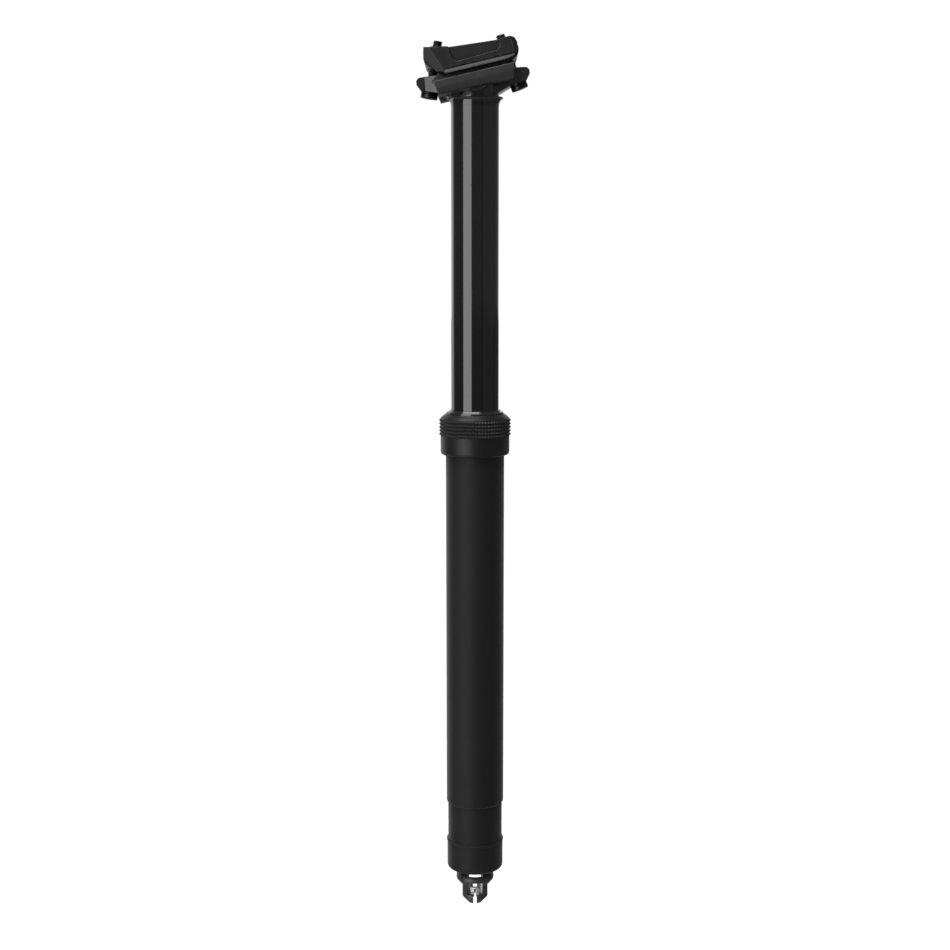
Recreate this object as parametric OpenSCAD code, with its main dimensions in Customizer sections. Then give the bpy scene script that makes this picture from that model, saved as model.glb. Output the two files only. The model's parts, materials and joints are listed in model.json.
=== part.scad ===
// Dropper seatpost: a saddle post that telescopes into a fixed outer tube.
// +Z runs up to the saddle and +X to the rear of the bicycle.
// The origin is on the post's axis at the underside of the collar, where the seat tube ends.

/* [Travel] */
// Distance that the saddle drops
travel = 150; // [100:5:170]
// Stanchion that stays bare above the wiper at full drop
bare_spare = 13.5; // [10:0.5:30]
// Length of the stanchion below the collar at full height
post_tail = 38; // [34:1:60]
// Outer tube left below the stanchion's lowest place
tube_spare = 7.2; // [6:0.2:12]

/* [Outer tube] */
// Outer radius, the size that the seat tube clamps
tube_r = 15.8; // [15.6:0.1:17.5]
// Wall of the outer tube
tube_wall = 1.6; // [1.2:0.1:2]
// Depth of the tube's end inside the collar, from the collar's top
tube_in_collar = 9.4; // [8.6:0.1:11]
// Step from the tube's surface down to the neck that the collar screws onto
neck_step = 0.5; // [0.3:0.1:0.7]
// Chamfer at the tube's lower edge
tube_chamfer = 0.5; // [0.2:0.1:0.8]
// Width of each keyway
key_w = 3; // [2:0.1:4]
// Depth of the keyways in the tube's wall
keyway_depth = 0.8; // [0.5:0.1:1]
// Number of keys round the post
key_count = 3; // [3:1:3]

/* [Collar] */
// Radius of the plain band
collar_r = 18.6; // [18.4:0.1:19]
// Height of the plain band
collar_band_h = 10.2; // [8:0.2:12]
// Height of the collar
collar_h = 21.9; // [21.4:0.1:26]
// Radius of the knurl's points
knurl_r = 19.45; // [19.3:0.05:20]
// Depth of the grooves between the knurl's columns
knurl_depth = 0.5; // [0.2:0.05:0.6]
// Depth of the grooves between the knurl's rows
knurl_row_depth = 0.9; // [0.6:0.05:1]
// Spacing of the knurl's rows
knurl_pitch = 1.88; // [1.6:0.02:1.9]
// Number of knurl rows
knurl_rows = 5; // [3:1:5]
// Number of points in each row
knurl_teeth = 70; // [40:2:80]
// Radius of the bore that holds the wiper and the seal
collar_bore_r = 15; // [14.6:0.1:15.4]

/* [Seals and bushes] */
// Running clearance between the stanchion and its bushes
bush_gap = 0.05; // [0.02:0.01:0.1]
// Running clearance between the lower guide and the outer tube
guide_gap = 0.05; // [0.02:0.01:0.1]
// Gap between the upper bush and the lower guide at full height
top_out_gap = 3; // [1:0.5:8]
// Height of the foam seal
seal_h = 3.7; // [2.5:0.1:4]
// Height of the wiper above the collar
wiper_top_h = 2.2; // [1.6:0.1:4]
// Height of the wiper inside the collar
wiper_in_h = 4.4; // [3:0.1:4.5]
// Outer radius of the wiper's visible step
wiper_step_r = 15.2; // [15.1:0.1:15.6]
// Outer radius of the wiper's lip
wiper_lip_r = 13.5; // [13.3:0.1:14]

/* [Stanchion] */
// Outer radius of the stanchion
post_r = 12.7; // [12.5:0.05:12.8]
// Wall of the stanchion
post_wall = 1.5; // [1.2:0.1:1.8]
// Height of the lower guide
guide_h = 14; // [12:1:16]
// Height of the lower guide above the stanchion's end
guide_rise = 1; // [0.5:0.5:1.5]
// Length of each key
key_len = 10; // [8:1:11]
// Depth of the key's seat in the stanchion
key_seat = 0.9; // [0.6:0.1:1.1]

/* [Base] */
// Radius of the base housing's bare length
housing_r = 15; // [14.8:0.1:15.2]
// Bare length of the base housing
housing_bare = 21.7; // [20:0.1:26]
// Length of the spigot inside the outer tube
spigot_len = 6; // [4:0.2:6.4]
// Inner radius of the base housing
housing_bore_r = 13; // [12.8:0.1:13.2]
// Depth of the bulkhead below the outer tube
bulkhead_drop = 3.8; // [3:0.1:5]
// Thickness of the bulkhead
bulkhead_h = 11; // [9:0.5:12]
// Inner radius of the actuator's chamber
chamber_r = 12.5; // [12:0.1:13]
// Radius of the grub screws
grub_r = 1.5; // [1:0.1:2]
// Depth of the grub screws below the housing's surface
grub_recess = 0.4; // [0.2:0.1:2]
// Outer radius of the elastomer stop
bumper_r = 12.4; // [11:0.1:12.6]
// Inner radius of the elastomer stop
bumper_in_r = 6.4; // [6:0.1:8]
// Gap left above the elastomer stop at full drop
bumper_gap = 0.3; // [0.2:0.1:1]

/* [Base cap] */
// Radius of the cap
cap_r = 15.5; // [15.3:0.05:15.6]
// Radius of the raised lip
cap_lip_r = 15.75; // [15.65:0.05:15.8]
// Height of the raised lip
cap_lip_h = 0.9; // [0.6:0.1:1.5]
// Height of the cap
cap_h = 16.8; // [14:0.2:18]
// Thickness of the cap's floor
cap_floor = 3; // [2.4:0.1:3.5]
// Radius of the hole in the cap's floor
cap_hole_r = 9.2; // [9.1:0.1:9.4]
// Radius of the rounded lower edge
cap_round = 2; // [1:0.2:2.4]
// Radius of the spigot that the cap screws onto
cap_thread_r = 14.2; // [13.8:0.1:14.3]

/* [Cable cage] */
// Height of the side struts between the cap and the ring
strut_h = 3.4; // [3:0.1:6]
// Half depth of the struts, front to back
strut_y = 3.5; // [2.5:0.1:4]
// Outer radius of the ring at its widest
ring_r = 10.5; // [9.8:0.1:11.5]
// Inner radius of the ring's mouth
ring_in_r = 8.5; // [8:0.1:9]
// Height of the ring's funnel
funnel_h = 7.1; // [6:0.1:8]
// Outer radius of the cage's barrel
cage_r = 7.1; // [6.8:0.1:8]
// Inner radius of the cage's barrel
cage_in_r = 5.5; // [5.4:0.1:5.8]
// Height of the cage's straight barrel
cage_h = 7; // [6.5:0.1:9]
// Height of the tapered nose
nose_h = 3.6; // [3.2:0.1:5]
// Radius of the nose's end
nose_r = 3.9; // [3.6:0.1:5]
// Half width of the front and rear windows
window_x = 4.4; // [3.4:0.1:4.6]
// Drop of the windows' upper edge below the ring's top
window_drop = 3.4; // [2.5:0.1:4]
// Height of the sill below the windows, over the barrel's end
sill_h = 2.1; // [1:0.1:2.4]
// Radius of the windows' corners
window_corner = 1; // [0.5:0.1:1.5]
// Width of the cable's slot in the nose
slot_w = 1.9; // [1.5:0.1:1.9]
// Radius of the cable housing's seat
housing_seat_r = 2.6; // [2:0.1:2.8]
// Depth of the cable housing's seat
housing_seat_h = 1.4; // [1:0.1:2]
// Thickness of the flange that the cap clamps
cage_flange_h = 1.2; // [0.8:0.1:2]
// Radius of the flange that the cap clamps
cage_flange_r = 10.8; // [10.2:0.1:12]
// Radius of the cage's central hole
cage_hole_r = 5.35; // [5.3:0.05:6]

/* [Actuator] */
// Travel of the cable barrel
pull_travel = 1.9; // [1:0.1:2]
// Outer radius of the cable barrel
barrel_r = 4.15; // [3.6:0.05:4.2]
// Height of the cable barrel
barrel_h = 5.1; // [4.5:0.1:5.6]
// Drop of the barrel's rim below the ring's top
barrel_drop = 8.4; // [8:0.1:9]
// Radius of the barrel's hollow
barrel_in_r = 3.2; // [2.6:0.1:3.4]
// Depth of the barrel's hollow
barrel_in_h = 1.6; // [1:0.1:2.5]
// Radius of the keyhole in the barrel
keyhole_r = 0.75; // [0.5:0.05:1]
// Number of fine ribs round the barrel
barrel_ribs = 24; // [12:2:36]
// Outer radius of the carriage's legs
leg_r = 5; // [4.7:0.05:5.1]
// Half width of the carriage's legs
leg_y = 2.7; // [1.6:0.1:2.8]
// Radius of the barrel's side pins
barrel_pin_r = 0.85; // [0.6:0.05:1]
// Radius of the carriage's crown
crown_r = 8; // [6:0.1:9]
// Thickness of the carriage's crown
crown_h = 3; // [2:0.1:4]
// Radius of the valve's pull rod
pull_rod_r = 1.5; // [1:0.05:1.6]
// Radius of the return spring's wire
spring_wire_r = 0.5; // [0.3:0.05:0.6]
// Radius of the return spring's coil
spring_coil_r = 6.8; // [6.2:0.1:7]
// Number of turns of the return spring
spring_turns = 4; // [2:1:4]
// Gap between the piston rod's end and the carriage's crown
crown_gap = 1.5; // [0.5:0.1:3]

/* [Cartridge] */
// Radius of the piston rod
rod_r = 3.5; // [3:0.1:4]
// Radius of the bore through the piston rod
rod_bore_r = 1.75; // [1.65:0.05:2]
// Inner radius of the gas cylinder
gas_r = 9; // [8:0.1:9.2]
// Outer radius of the gas cylinder
gas_out_r = 9.8; // [9.4:0.1:10]
// Height of the piston
piston_h = 8; // [6:0.5:10]
// Gap below the piston at full height
piston_gap = 0.5; // [0.3:0.1:2]
// Height of the cylinder's end cap
end_cap_h = 10; // [8:0.5:12]
// Height of the cylinder's end above the stanchion's end
cylinder_rise = 2; // [1.5:0.5:4]
// Depth of the lock ring in the stanchion
lock_ring_h = 5; // [3:0.5:6]
// Height of the floating piston
floating_h = 7; // [5:0.5:9]
// Gap between the two pistons at full drop
piston_clear = 2.2; // [1:0.1:4]
// Height of the cylinder's top plug
plug_h = 12; // [8:0.5:14]
// Height of the plug's flange
plug_flange_h = 8; // [4:0.5:10]
// Depth of the rod nut
rod_nut_h = 4.5; // [3:0.5:5]
// Distance across the rod nut's flats
rod_nut_af = 10; // [9:0.5:12]
// Height of the rod's shoulder
shoulder_h = 2; // [1:0.2:3]
// Radius of the rod's shoulder
shoulder_r = 5.5; // [5:0.1:6]

/* [Head] */
// Lean of the head toward the front of the bicycle
head_lean = 5.7; // [0:0.1:8]
// Depth of the cartridge's socket below the stanchion's top
socket_drop = 7.6; // [6:0.2:12]
// Length of the head's spigot inside the stanchion
head_spigot = 22.6; // [18:0.2:30]
// Height of the tilt axis above the stanchion's top
tilt_h = 15.9; // [15.6:0.1:20]
// Radius of the cradle's seat
seat_r = 13; // [12:0.1:13]
// Clearance of the cradle's seat
seat_gap = 0.05; // [0.02:0.01:0.1]
// Distance of the barrel nuts from the middle, front to rear
nut_x = 19; // [18.5:0.1:21]
// Height of the barrel nuts above the tilt axis
nut_rise = 5.2; // [4:0.1:6.5]
// Distance from each barrel nut to the ear's underside, along the bolt
ear_seat = 16.25; // [15.5:0.05:17]
// Half length of the ears' flat seats
ear_flat = 4.6; // [4.6:0.1:5]
// Half length of the head, front to rear
ear_end = 29.7; // [29:0.1:32]
// Height of the ears' tops above the stanchion's top
ear_top = 13.2; // [12.6:0.1:14]
// Half width of the arms at their roots
arm_root_y = 9.6; // [8.5:0.1:11]
// Half width of the arms at the ears
arm_tip_y = 6.2; // [5.6:0.1:7]
// Half width of the ears' ends
arm_end_y = 2.6; // [2:0.1:4]

/* [Saddle clamp] */
// Radius of the saddle's rails
rail_r = 3.5; // [3.5:0.05:3.6]
// Distance of each rail from the middle
rail_y = 22; // [21.5:0.1:22.5]
// Depth of the rails below the tilt axis
rail_drop = 3.8; // [3.4:0.1:4.4]
// Slope of the rails at rest
rail_slope = 13; // [8:0.5:14]
// Tilt that the bolts give each way
tilt_range = 6; // [2:0.5:6]
// Gap between the clamp's halves
clamp_gap = 2.4; // [1.6:0.1:3]
// Wall round the outside of each rail
rail_wall = 0.8; // [0.6:0.1:1.5]
// Distance of the upper clamp's side faces outside the rails' middles
face_out = 3; // [2.6:0.1:3.4]
// Front end of the cradle
cradle_front = 21.4; // [20:0.1:22]
// Rear end of the cradle
cradle_rear = 20.8; // [19:0.1:21]
// Depth of the cradle below the tilt axis
cradle_depth = 11.9; // [11.2:0.1:13]
// Half width of the cradle's rocker
rocker_y = 12.4; // [10:0.1:12.6]
// Clearance between the cradle's ridge and the upper clamp
ridge_gap = 0.3; // [0.2:0.1:0.6]
// Depth of the pockets in the upper clamp
pocket_depth = 1.6; // [1:0.1:2]
// Wall round each barrel nut
boss_wall = 1.45; // [1.2:0.05:2]

/* [Bolts] */
// Radius of the clamp bolts
bolt_r = 2.5; // [2:0.25:2.5]
// Clearance round the clamp bolts
bolt_gap = 0.25; // [0.2:0.05:0.3]
// Length of the bolt above the barrel nut's middle
bolt_tip = 10.6; // [6:0.2:12]
// Radius of the bolt heads
bolt_head_r = 4.5; // [4:0.1:4.6]
// Height of the bolt heads
bolt_head_h = 2.4; // [2:0.1:4]
// Distance across the bolts' hex sockets
bolt_key_af = 3; // [2.5:0.5:4]
// Thickness of the washers
washer_h = 0.7; // [0.5:0.1:1.5]
// Radius of the washers
washer_r = 4.5; // [3.6:0.1:4.6]
// Radius of the barrel nuts
nut_r = 4; // [3.6:0.1:4.2]
// Half length of the barrel nuts
nut_y = 9; // [7:0.2:10]
// Running clearance of the barrel nuts
nut_gap = 0.05; // [0.02:0.01:0.1]

/* [Hidden] */
$fn = 96;

black = "#232426";
dark_grey = "#3b3c3e";
gloss_black = "#2b2c2f";
silver = "#a9abae";
brass = "#b58d3d";
rubber_black = "#161616";

// Heights along the post
tube_in_r = tube_r - tube_wall;
tube_top = collar_h - tube_in_collar;
neck_r = tube_r - neck_step;
tube_end = -(post_tail + travel + tube_spare);
post_in_r = post_r - post_wall;
post_end = -post_tail;
wiper_top = collar_h + wiper_top_h;
post_top = wiper_top + travel + bare_spare;
guide_end = post_end + guide_rise;
guide_top = guide_end + guide_h;
bush_end = guide_top + top_out_gap;
guide_r = tube_in_r - guide_gap;
running_r = post_r + bush_gap;
keyway_r = tube_in_r + keyway_depth;

// Heights in the base
housing_end = tube_end - housing_bare;
spigot_top = tube_end + spigot_len;
bulkhead_top = tube_end - bulkhead_drop;
chamber_top = bulkhead_top - bulkhead_h;
cap_end = housing_end - cap_h;
cap_floor_top = cap_end + cap_floor;
flange_top = cap_floor_top + cage_flange_h;
grub_z = chamber_top + 2.2;

// Heights in the cable cage
ring_top = cap_end - strut_h;
funnel_end = ring_top - funnel_h;
cage_end = funnel_end - cage_h;
nose_end = cage_end - nose_h;
window_top = ring_top - window_drop;
sill_top = cage_end + sill_h;
barrel_top = ring_top - barrel_drop;
barrel_end = barrel_top - barrel_h;
pin_z = (barrel_top + barrel_end) / 2;
well_end = barrel_end - pull_travel - 0.1;

// Heights in the cartridge
cylinder_end = post_end + cylinder_rise;
piston_end = cylinder_end + end_cap_h + piston_gap;
piston_top = piston_end + piston_h;
plug_top = post_top - socket_drop;
cylinder_top = plug_top - plug_flange_h;
rod_ratio = (rod_r / gas_r) * (rod_r / gas_r);
floating_end = piston_top + travel * (1 - rod_ratio) + piston_clear;
rod_end = chamber_top - rod_nut_h - 1;
crown_top = rod_end - crown_gap;
crown_end = crown_top - crown_h;
valve_h = 2;
rod_top = piston_top - 0.4 - valve_h - pull_travel - 0.1;

// A ring with a square section
module ring(r_out, r_in, low, high) {
    translate([0, 0, low]) difference() {
        cylinder(r = r_out, h = high - low);
        translate([0, 0, -1]) cylinder(r = r_in, h = high - low + 2);
    }
}

// Copies of a shape at equal angles round the post
module around(count) {
    for (i = [0 : count - 1]) rotate([0, 0, i * 360 / count]) children();
}

// A rounded bottom corner of a profile, centred on the corner's round
module corner_profile(r_out, r_in, low, high, round) {
    translate([r_in, low + round]) square([r_out - r_in, high - low - round]);
    translate([r_in, low]) square([r_out - round - r_in, round]);
    translate([r_out - round, low + round]) intersection() {
        circle(r = round);
        translate([0, -round]) square(round);
    }
}

// Fixed outer tube with its inner keyways
module outer_tube() {
    color(black) difference() {
        rotate_extrude() polygon([
            [tube_in_r, tube_end], [tube_r - tube_chamfer, tube_end], [tube_r, tube_end + tube_chamfer],
            [tube_r, 0], [neck_r, 0], [neck_r, tube_top], [tube_in_r, tube_top]
        ]);
        around(key_count)
            translate([tube_in_r - 1, -key_w / 2 - 0.05, spigot_top])
                cube([keyway_depth + 1, key_w + 0.1, bush_end - spigot_top]);
    }
}

// Pyramids of the knurl, in rows round a sleeve
module knurl_sleeve(r_in, low) {
    levels = 2 * knurl_rows;
    count = 2 * knurl_teeth;
    outer = [for (j = [0 : levels]) for (i = [0 : count - 1])
        let (a = i * 360 / count,
             r = j % 2 == 0 ? knurl_r - knurl_row_depth : knurl_r - (i % 2) * knurl_depth)
        [r * cos(a), r * sin(a), low + j * knurl_pitch / 2]];
    inner = [for (z = [low, low + levels * knurl_pitch / 2]) for (i = [0 : count - 1])
        let (a = i * 360 / count) [r_in * cos(a), r_in * sin(a), z]];
    base = (levels + 1) * count;
    faces = [for (i = [0 : count - 1]) let (k = (i + 1) % count) each [
        for (j = [0 : levels - 1]) each [
            [j * count + i, (j + 1) * count + k, j * count + k],
            [j * count + i, (j + 1) * count + i, (j + 1) * count + k]
        ],
        [base + i, base + k, base + count + i],
        [base + k, base + count + k, base + count + i],
        [i, k, base + k, base + i],
        [levels * count + i, base + count + i, base + count + k, levels * count + k]
    ]];
    polyhedron(concat(outer, inner), faces);
}

// Screw collar: a plain band, a knurl to grip and a shoulder round the wiper
module collar() {
    knurl_low = collar_band_h - 0.1;
    knurl_high = knurl_low + knurl_rows * knurl_pitch;
    core_r = knurl_r - knurl_row_depth - 0.4;
    top_r = collar_bore_r + 1;
    color(black) union() {
        rotate_extrude() polygon([
            [neck_r, 0], [collar_r - 1, 0], [collar_r - 0.3, 0.5], [collar_r, 1.6],
            [collar_r, collar_band_h], [core_r, collar_band_h], [core_r, knurl_high - 0.1],
            [core_r + 0.5, knurl_high - 0.1], [core_r + 0.5, knurl_high + 0.2],
            [collar_r - 0.5, knurl_high + 0.7], [top_r + 1.2, collar_h - 0.9],
            [top_r + 0.3, collar_h - 0.35], [top_r, collar_h], [collar_bore_r, collar_h],
            [collar_bore_r, tube_top], [neck_r, tube_top]
        ]);
        knurl_sleeve((tube_r + core_r) / 2, knurl_low);
    }
}

// Dust wiper with its stepped top
module wiper_seal() {
    low = collar_h - wiper_in_h;
    color(rubber_black) rotate_extrude() polygon([
        [running_r + 0.7, low], [collar_bore_r, low], [collar_bore_r, collar_h],
        [wiper_step_r, collar_h], [wiper_step_r, collar_h + 1], [wiper_step_r - 0.4, collar_h + 1.3],
        [wiper_lip_r + 0.4, collar_h + 1.3], [wiper_lip_r, wiper_top], [running_r, wiper_top],
        [running_r, wiper_top - 0.8], [running_r + 0.9, collar_h - 0.6], [running_r + 0.9, low + 1.8],
        [running_r, low + 1.1], [running_r, low + 0.4]
    ]);
}

// Felt ring that oils the stanchion
module collar_seal() {
    color(dark_grey) ring(collar_bore_r, running_r, tube_top, tube_top + seal_h);
}

// Bush that guides the stanchion at the tube's top
module upper_bushing() {
    color(brass) ring(tube_in_r, running_r, bush_end, tube_top);
}

// Lower section that closes the tube and carries the cartridge
module base_housing() {
    spigot_r = cap_thread_r;
    color(black) difference() {
        rotate_extrude() polygon([
            [0, flange_top], [spigot_r, flange_top], [spigot_r, housing_end], [housing_r, housing_end],
            [housing_r, tube_end], [tube_in_r, tube_end], [tube_in_r, spigot_top], [0, spigot_top]
        ]);
        translate([0, 0, bulkhead_top]) cylinder(r = housing_bore_r, h = spigot_top - bulkhead_top + 1);
        translate([0, 0, flange_top - 1]) cylinder(r = chamber_r, h = chamber_top - flange_top + 1);
        translate([0, 0, flange_top - 1]) cylinder(r = rod_r, h = spigot_top - flange_top + 2);
        for (side = [0, 180]) rotate([0, 0, side])
            translate([0, 0, grub_z]) rotate([0, 90, 0]) cylinder(r = grub_r, h = housing_r + 1, $fn = 48);
    }
}

// Elastomer stop for the stanchion's end
module bottom_bumper() {
    color(rubber_black) rotate_extrude() polygon([
        [bumper_in_r, bulkhead_top], [bumper_r, bulkhead_top],
        [bumper_r, post_end - travel - bumper_gap - 1.5], [bumper_r - 0.8, post_end - travel - bumper_gap],
        [bumper_in_r, post_end - travel - bumper_gap]
    ]);
}

// Two screws that lock the piston rod in the bulkhead
module base_grub_screws() {
    color(dark_grey) for (side = [0, 180]) rotate([0, 0, side])
        translate([rod_r + 0.1, 0, grub_z]) rotate([0, 90, 0]) difference() {
            cylinder(r = grub_r, h = housing_r - grub_recess - rod_r - 0.1, $fn = 48);
            translate([0, 0, housing_r - grub_recess - rod_r - 1.6])
                cylinder(r = grub_r * 0.55, h = 2, $fn = 6);
        }
}

// Cap that clamps the cable cage to the base
module base_cap() {
    color(black) difference() {
        union() {
            rotate_extrude() corner_profile(cap_r, 0, cap_end, housing_end, cap_round);
            rotate_extrude() polygon([
                [cap_thread_r - 1, housing_end - cap_lip_h - 0.3], [cap_r, housing_end - cap_lip_h - 0.3],
                [cap_lip_r, housing_end - cap_lip_h], [cap_lip_r, housing_end - 0.2],
                [cap_lip_r - 0.2, housing_end], [cap_thread_r - 1, housing_end]
            ]);
        }
        translate([0, 0, cap_floor_top]) cylinder(r = cap_thread_r, h = cap_h);
        translate([0, 0, cap_end - 1]) cylinder(r = cap_hole_r, h = cap_h);
        translate([0, -cap_lip_r, housing_end - cap_lip_h]) sphere(r = 0.45, $fn = 24);
    }
}

// Side of the cage's window, as a round-cornered outline seen from the front
module window_outline() {
    r = window_corner;
    translate([-window_x, sill_top + r]) square([2 * window_x, window_top - sill_top - r]);
    translate([r - window_x, sill_top]) square([2 * (window_x - r), r + 1]);
    for (side = [-1, 1]) translate([side * (window_x - r), sill_top + r]) circle(r = r, $fn = 32);
}

// Open cage that guides the actuator and holds the cable housing
module cable_cage() {
    color(dark_grey) difference() {
        union() {
            translate([0, 0, cap_end]) cylinder(r = cap_hole_r, h = cap_floor);
            translate([0, 0, cap_floor_top]) cylinder(r = cage_flange_r, h = cage_flange_h);
            rotate_extrude() difference() {
                polygon([
                    [0, nose_end], [nose_r, nose_end], [nose_r + 0.5, nose_end + 0.6], [cage_r, cage_end],
                    [cage_r, funnel_end], [ring_r - 1.8, funnel_end + 1.6], [ring_r - 0.3, funnel_end + 3.4],
                    [ring_r, funnel_end + 4.5], [ring_r - 0.2, ring_top - 1.1], [ring_r - 1.1, ring_top],
                    [ring_r - 1.5, ring_top], [ring_in_r, ring_top - 0.7], [0, ring_top - 0.7]
                ]);
                polygon([
                    [-1, funnel_end + 0.7], [cage_in_r, funnel_end + 0.7], [ring_in_r, funnel_end + 4.7],
                    [ring_in_r, ring_top + 1], [-1, ring_top + 1]
                ]);
            }
            for (side = [-1, 1]) rotate([90, 0, 0]) linear_extrude(2 * strut_y, center = true)
                polygon([
                    [side * (cage_hole_r - 0.45), cap_end], [side * (cap_hole_r - 0.3), cap_end],
                    [side * (cage_r + 0.2), ring_top], [side * (cage_r - 0.5), funnel_end + 1],
                    [side * (cage_in_r - 0.3), funnel_end + 0.5], [side * (cage_hole_r - 0.45), ring_top]
                ]);
        }
        translate([0, 0, well_end]) cylinder(r = barrel_r + 0.2, h = flange_top - well_end + 1);
        translate([0, 0, pin_z - 1.6 - pull_travel - 0.05])
            cylinder(r = cage_in_r, h = ring_top - pin_z + 1.6 + pull_travel);
        translate([0, 0, ring_top - 1]) cylinder(r = cage_hole_r, h = flange_top - ring_top + 2);
        translate([0, 0, nose_end - 1]) cylinder(r = housing_seat_r, h = housing_seat_h + 1);
        rotate([90, 0, 0]) linear_extrude(2 * ring_r + 2, center = true) window_outline();
        translate([-slot_w / 2, -ring_r, nose_end - 1]) cube([slot_w, 2 * ring_r, sill_top - nose_end + 2]);
    }
}

// Hollow rod that holds the piston still
module piston_rod() {
    color(silver) rotate_extrude() polygon([
        [rod_bore_r, rod_end], [rod_r - 0.4, rod_end], [rod_r, rod_end + 0.4], [rod_r, bulkhead_top],
        [shoulder_r, bulkhead_top], [shoulder_r, bulkhead_top + shoulder_h - 0.3],
        [shoulder_r - 0.3, bulkhead_top + shoulder_h], [rod_r, bulkhead_top + shoulder_h],
        [rod_r, rod_top], [rod_bore_r, rod_top]
    ]);
}

// Nut that holds the rod in the bulkhead
module rod_nut() {
    color(dark_grey) translate([0, 0, chamber_top - rod_nut_h]) difference() {
        cylinder(r = rod_nut_af / 2 / cos(30), h = rod_nut_h, $fn = 6);
        translate([0, 0, -1]) cylinder(r = rod_r, h = rod_nut_h + 2);
    }
}

// Piston with a groove for its seal
module piston() {
    color(silver) difference() {
        ring(gas_r - 0.1, rod_r, piston_end, piston_top);
        ring(gas_r + 1, gas_r - 1.2, piston_end + 3, piston_end + 5);
    }
}

// Seal in the piston's groove
module piston_seal() {
    color(rubber_black) ring(gas_r - 0.02, gas_r - 1.2, piston_end + 3, piston_end + 5);
}

// Carriage with two legs that carries the cable barrel
module cable_carriage() {
    leg_end = pin_z - 1.5;
    color(rubber_black) difference() {
        union() {
            translate([0, 0, crown_end]) cylinder(r = crown_r, h = crown_h);
            intersection() {
                ring(leg_r, barrel_r + 0.05, leg_end, crown_end + 1);
                translate([-leg_r - 1, -leg_y, leg_end - 1])
                    cube([2 * leg_r + 2, 2 * leg_y, crown_end - leg_end + 3]);
            }
        }
        translate([0, 0, crown_end - 1]) cylinder(r = pull_rod_r, h = crown_h + 2, $fn = 48);
        translate([0, 0, pin_z]) rotate([0, 90, 0])
            cylinder(r = barrel_pin_r, h = 2 * leg_r + 2, center = true, $fn = 48);
    }
}

// Ribbed cable barrel with its keyhole and side pins
module cable_barrel() {
    color(silver) difference() {
        union() {
            translate([0, 0, barrel_end]) difference() {
                cylinder(r = barrel_r, h = barrel_h);
                for (i = [0.5 : barrel_ribs - 0.5]) rotate([0, 0, i * 360 / barrel_ribs])
                    translate([barrel_r + 0.1, 0, 0.6])
                        cylinder(r = 0.28, h = barrel_h - 1.3, $fn = 24);
            }
            translate([0, 0, pin_z]) rotate([0, 90, 0])
                cylinder(r = barrel_pin_r, h = 2 * leg_r, center = true, $fn = 48);
        }
        translate([0, 0, barrel_top - barrel_in_h]) cylinder(r = barrel_in_r, h = barrel_in_h + 1);
        translate([0, 0, barrel_top - 1.4]) rotate([90, 0, 0])
            cylinder(r = keyhole_r, h = barrel_r + 1, $fn = 32);
        translate([-keyhole_r / 2, -barrel_r - 1, barrel_end - 1])
            cube([keyhole_r, barrel_r + 1, barrel_h - 1.4 + 1]);
        translate([-1.15, 0, barrel_top - 2.6]) cube([2.3, barrel_r + 1, 3]);
        translate([0, 0, barrel_end - 1]) cylinder(r = keyhole_r, h = barrel_h, $fn = 32);
    }
}

// Rod that opens the valve in the piston
module valve_pull_rod() {
    valve_top = piston_top - 0.4;
    color(silver) rotate_extrude() polygon([
        [0, crown_end - 1.2], [2.4, crown_end - 1.2], [2.4, crown_end], [pull_rod_r, crown_end],
        [pull_rod_r, crown_top], [2.2, crown_top], [2.2, crown_top + 0.8], [pull_rod_r, crown_top + 0.8],
        [pull_rod_r, valve_top - valve_h], [rod_r - 0.5, valve_top - valve_h],
        [rod_r - 0.5, valve_top - 0.4], [rod_r - 0.9, valve_top], [0, valve_top]
    ]);
}

// Spring that lifts the carriage again
module return_spring() {
    low = flange_top + spring_wire_r;
    rise = crown_end - flange_top - 2 * spring_wire_r;
    steps = 24 * spring_turns;
    sides = 8;
    points = [for (i = [0 : steps]) for (j = [0 : sides - 1])
        let (a = i * 360 * spring_turns / steps, b = j * 360 / sides,
             r = spring_coil_r + spring_wire_r * cos(b))
        [r * cos(a), r * sin(a), low + rise * i / steps + spring_wire_r * sin(b)]];
    walls = [for (i = [0 : steps - 1]) for (j = [0 : sides - 1])
        let (k = (j + 1) % sides)
        [i * sides + j, i * sides + k, (i + 1) * sides + k, (i + 1) * sides + j]];
    start = [for (j = [sides - 1 : -1 : 0]) j];
    finish = [for (j = [0 : sides - 1]) steps * sides + j];
    color(silver) polyhedron(points, concat([start, finish], walls));
}

// Space of one key, from its seat out to a given radius
module key_space(r_out) {
    low = guide_end + (guide_h - key_len) / 2;
    intersection() {
        ring(r_out, post_r - key_seat, low, low + key_len);
        translate([0, -key_w / 2, low - 1]) cube([r_out + 1, key_w, key_len + 2]);
    }
}

// Sliding tube that carries the head
module stanchion() {
    color(gloss_black) difference() {
        rotate_extrude() polygon([
            [post_in_r, post_end], [post_r - 0.4, post_end], [post_r, post_end + 0.4],
            [post_r, post_top - 0.5], [post_r - 0.5, post_top], [post_in_r, post_top]
        ]);
        around(key_count) key_space(post_r + 1);
    }
}

// Guide bush at the stanchion's lower end
module lower_guide() {
    color(dark_grey) difference() {
        ring(guide_r, post_r, guide_end, guide_top);
        around(key_count) key_space(guide_r + 1);
    }
}

// Keys that stop the post turning
module guide_keys() {
    color(brass) around(key_count) key_space(keyway_r - 0.1);
}

// Cylinder of the gas cartridge
module gas_cylinder() {
    color(silver) ring(gas_out_r, gas_r, cylinder_end, cylinder_top);
}

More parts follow.
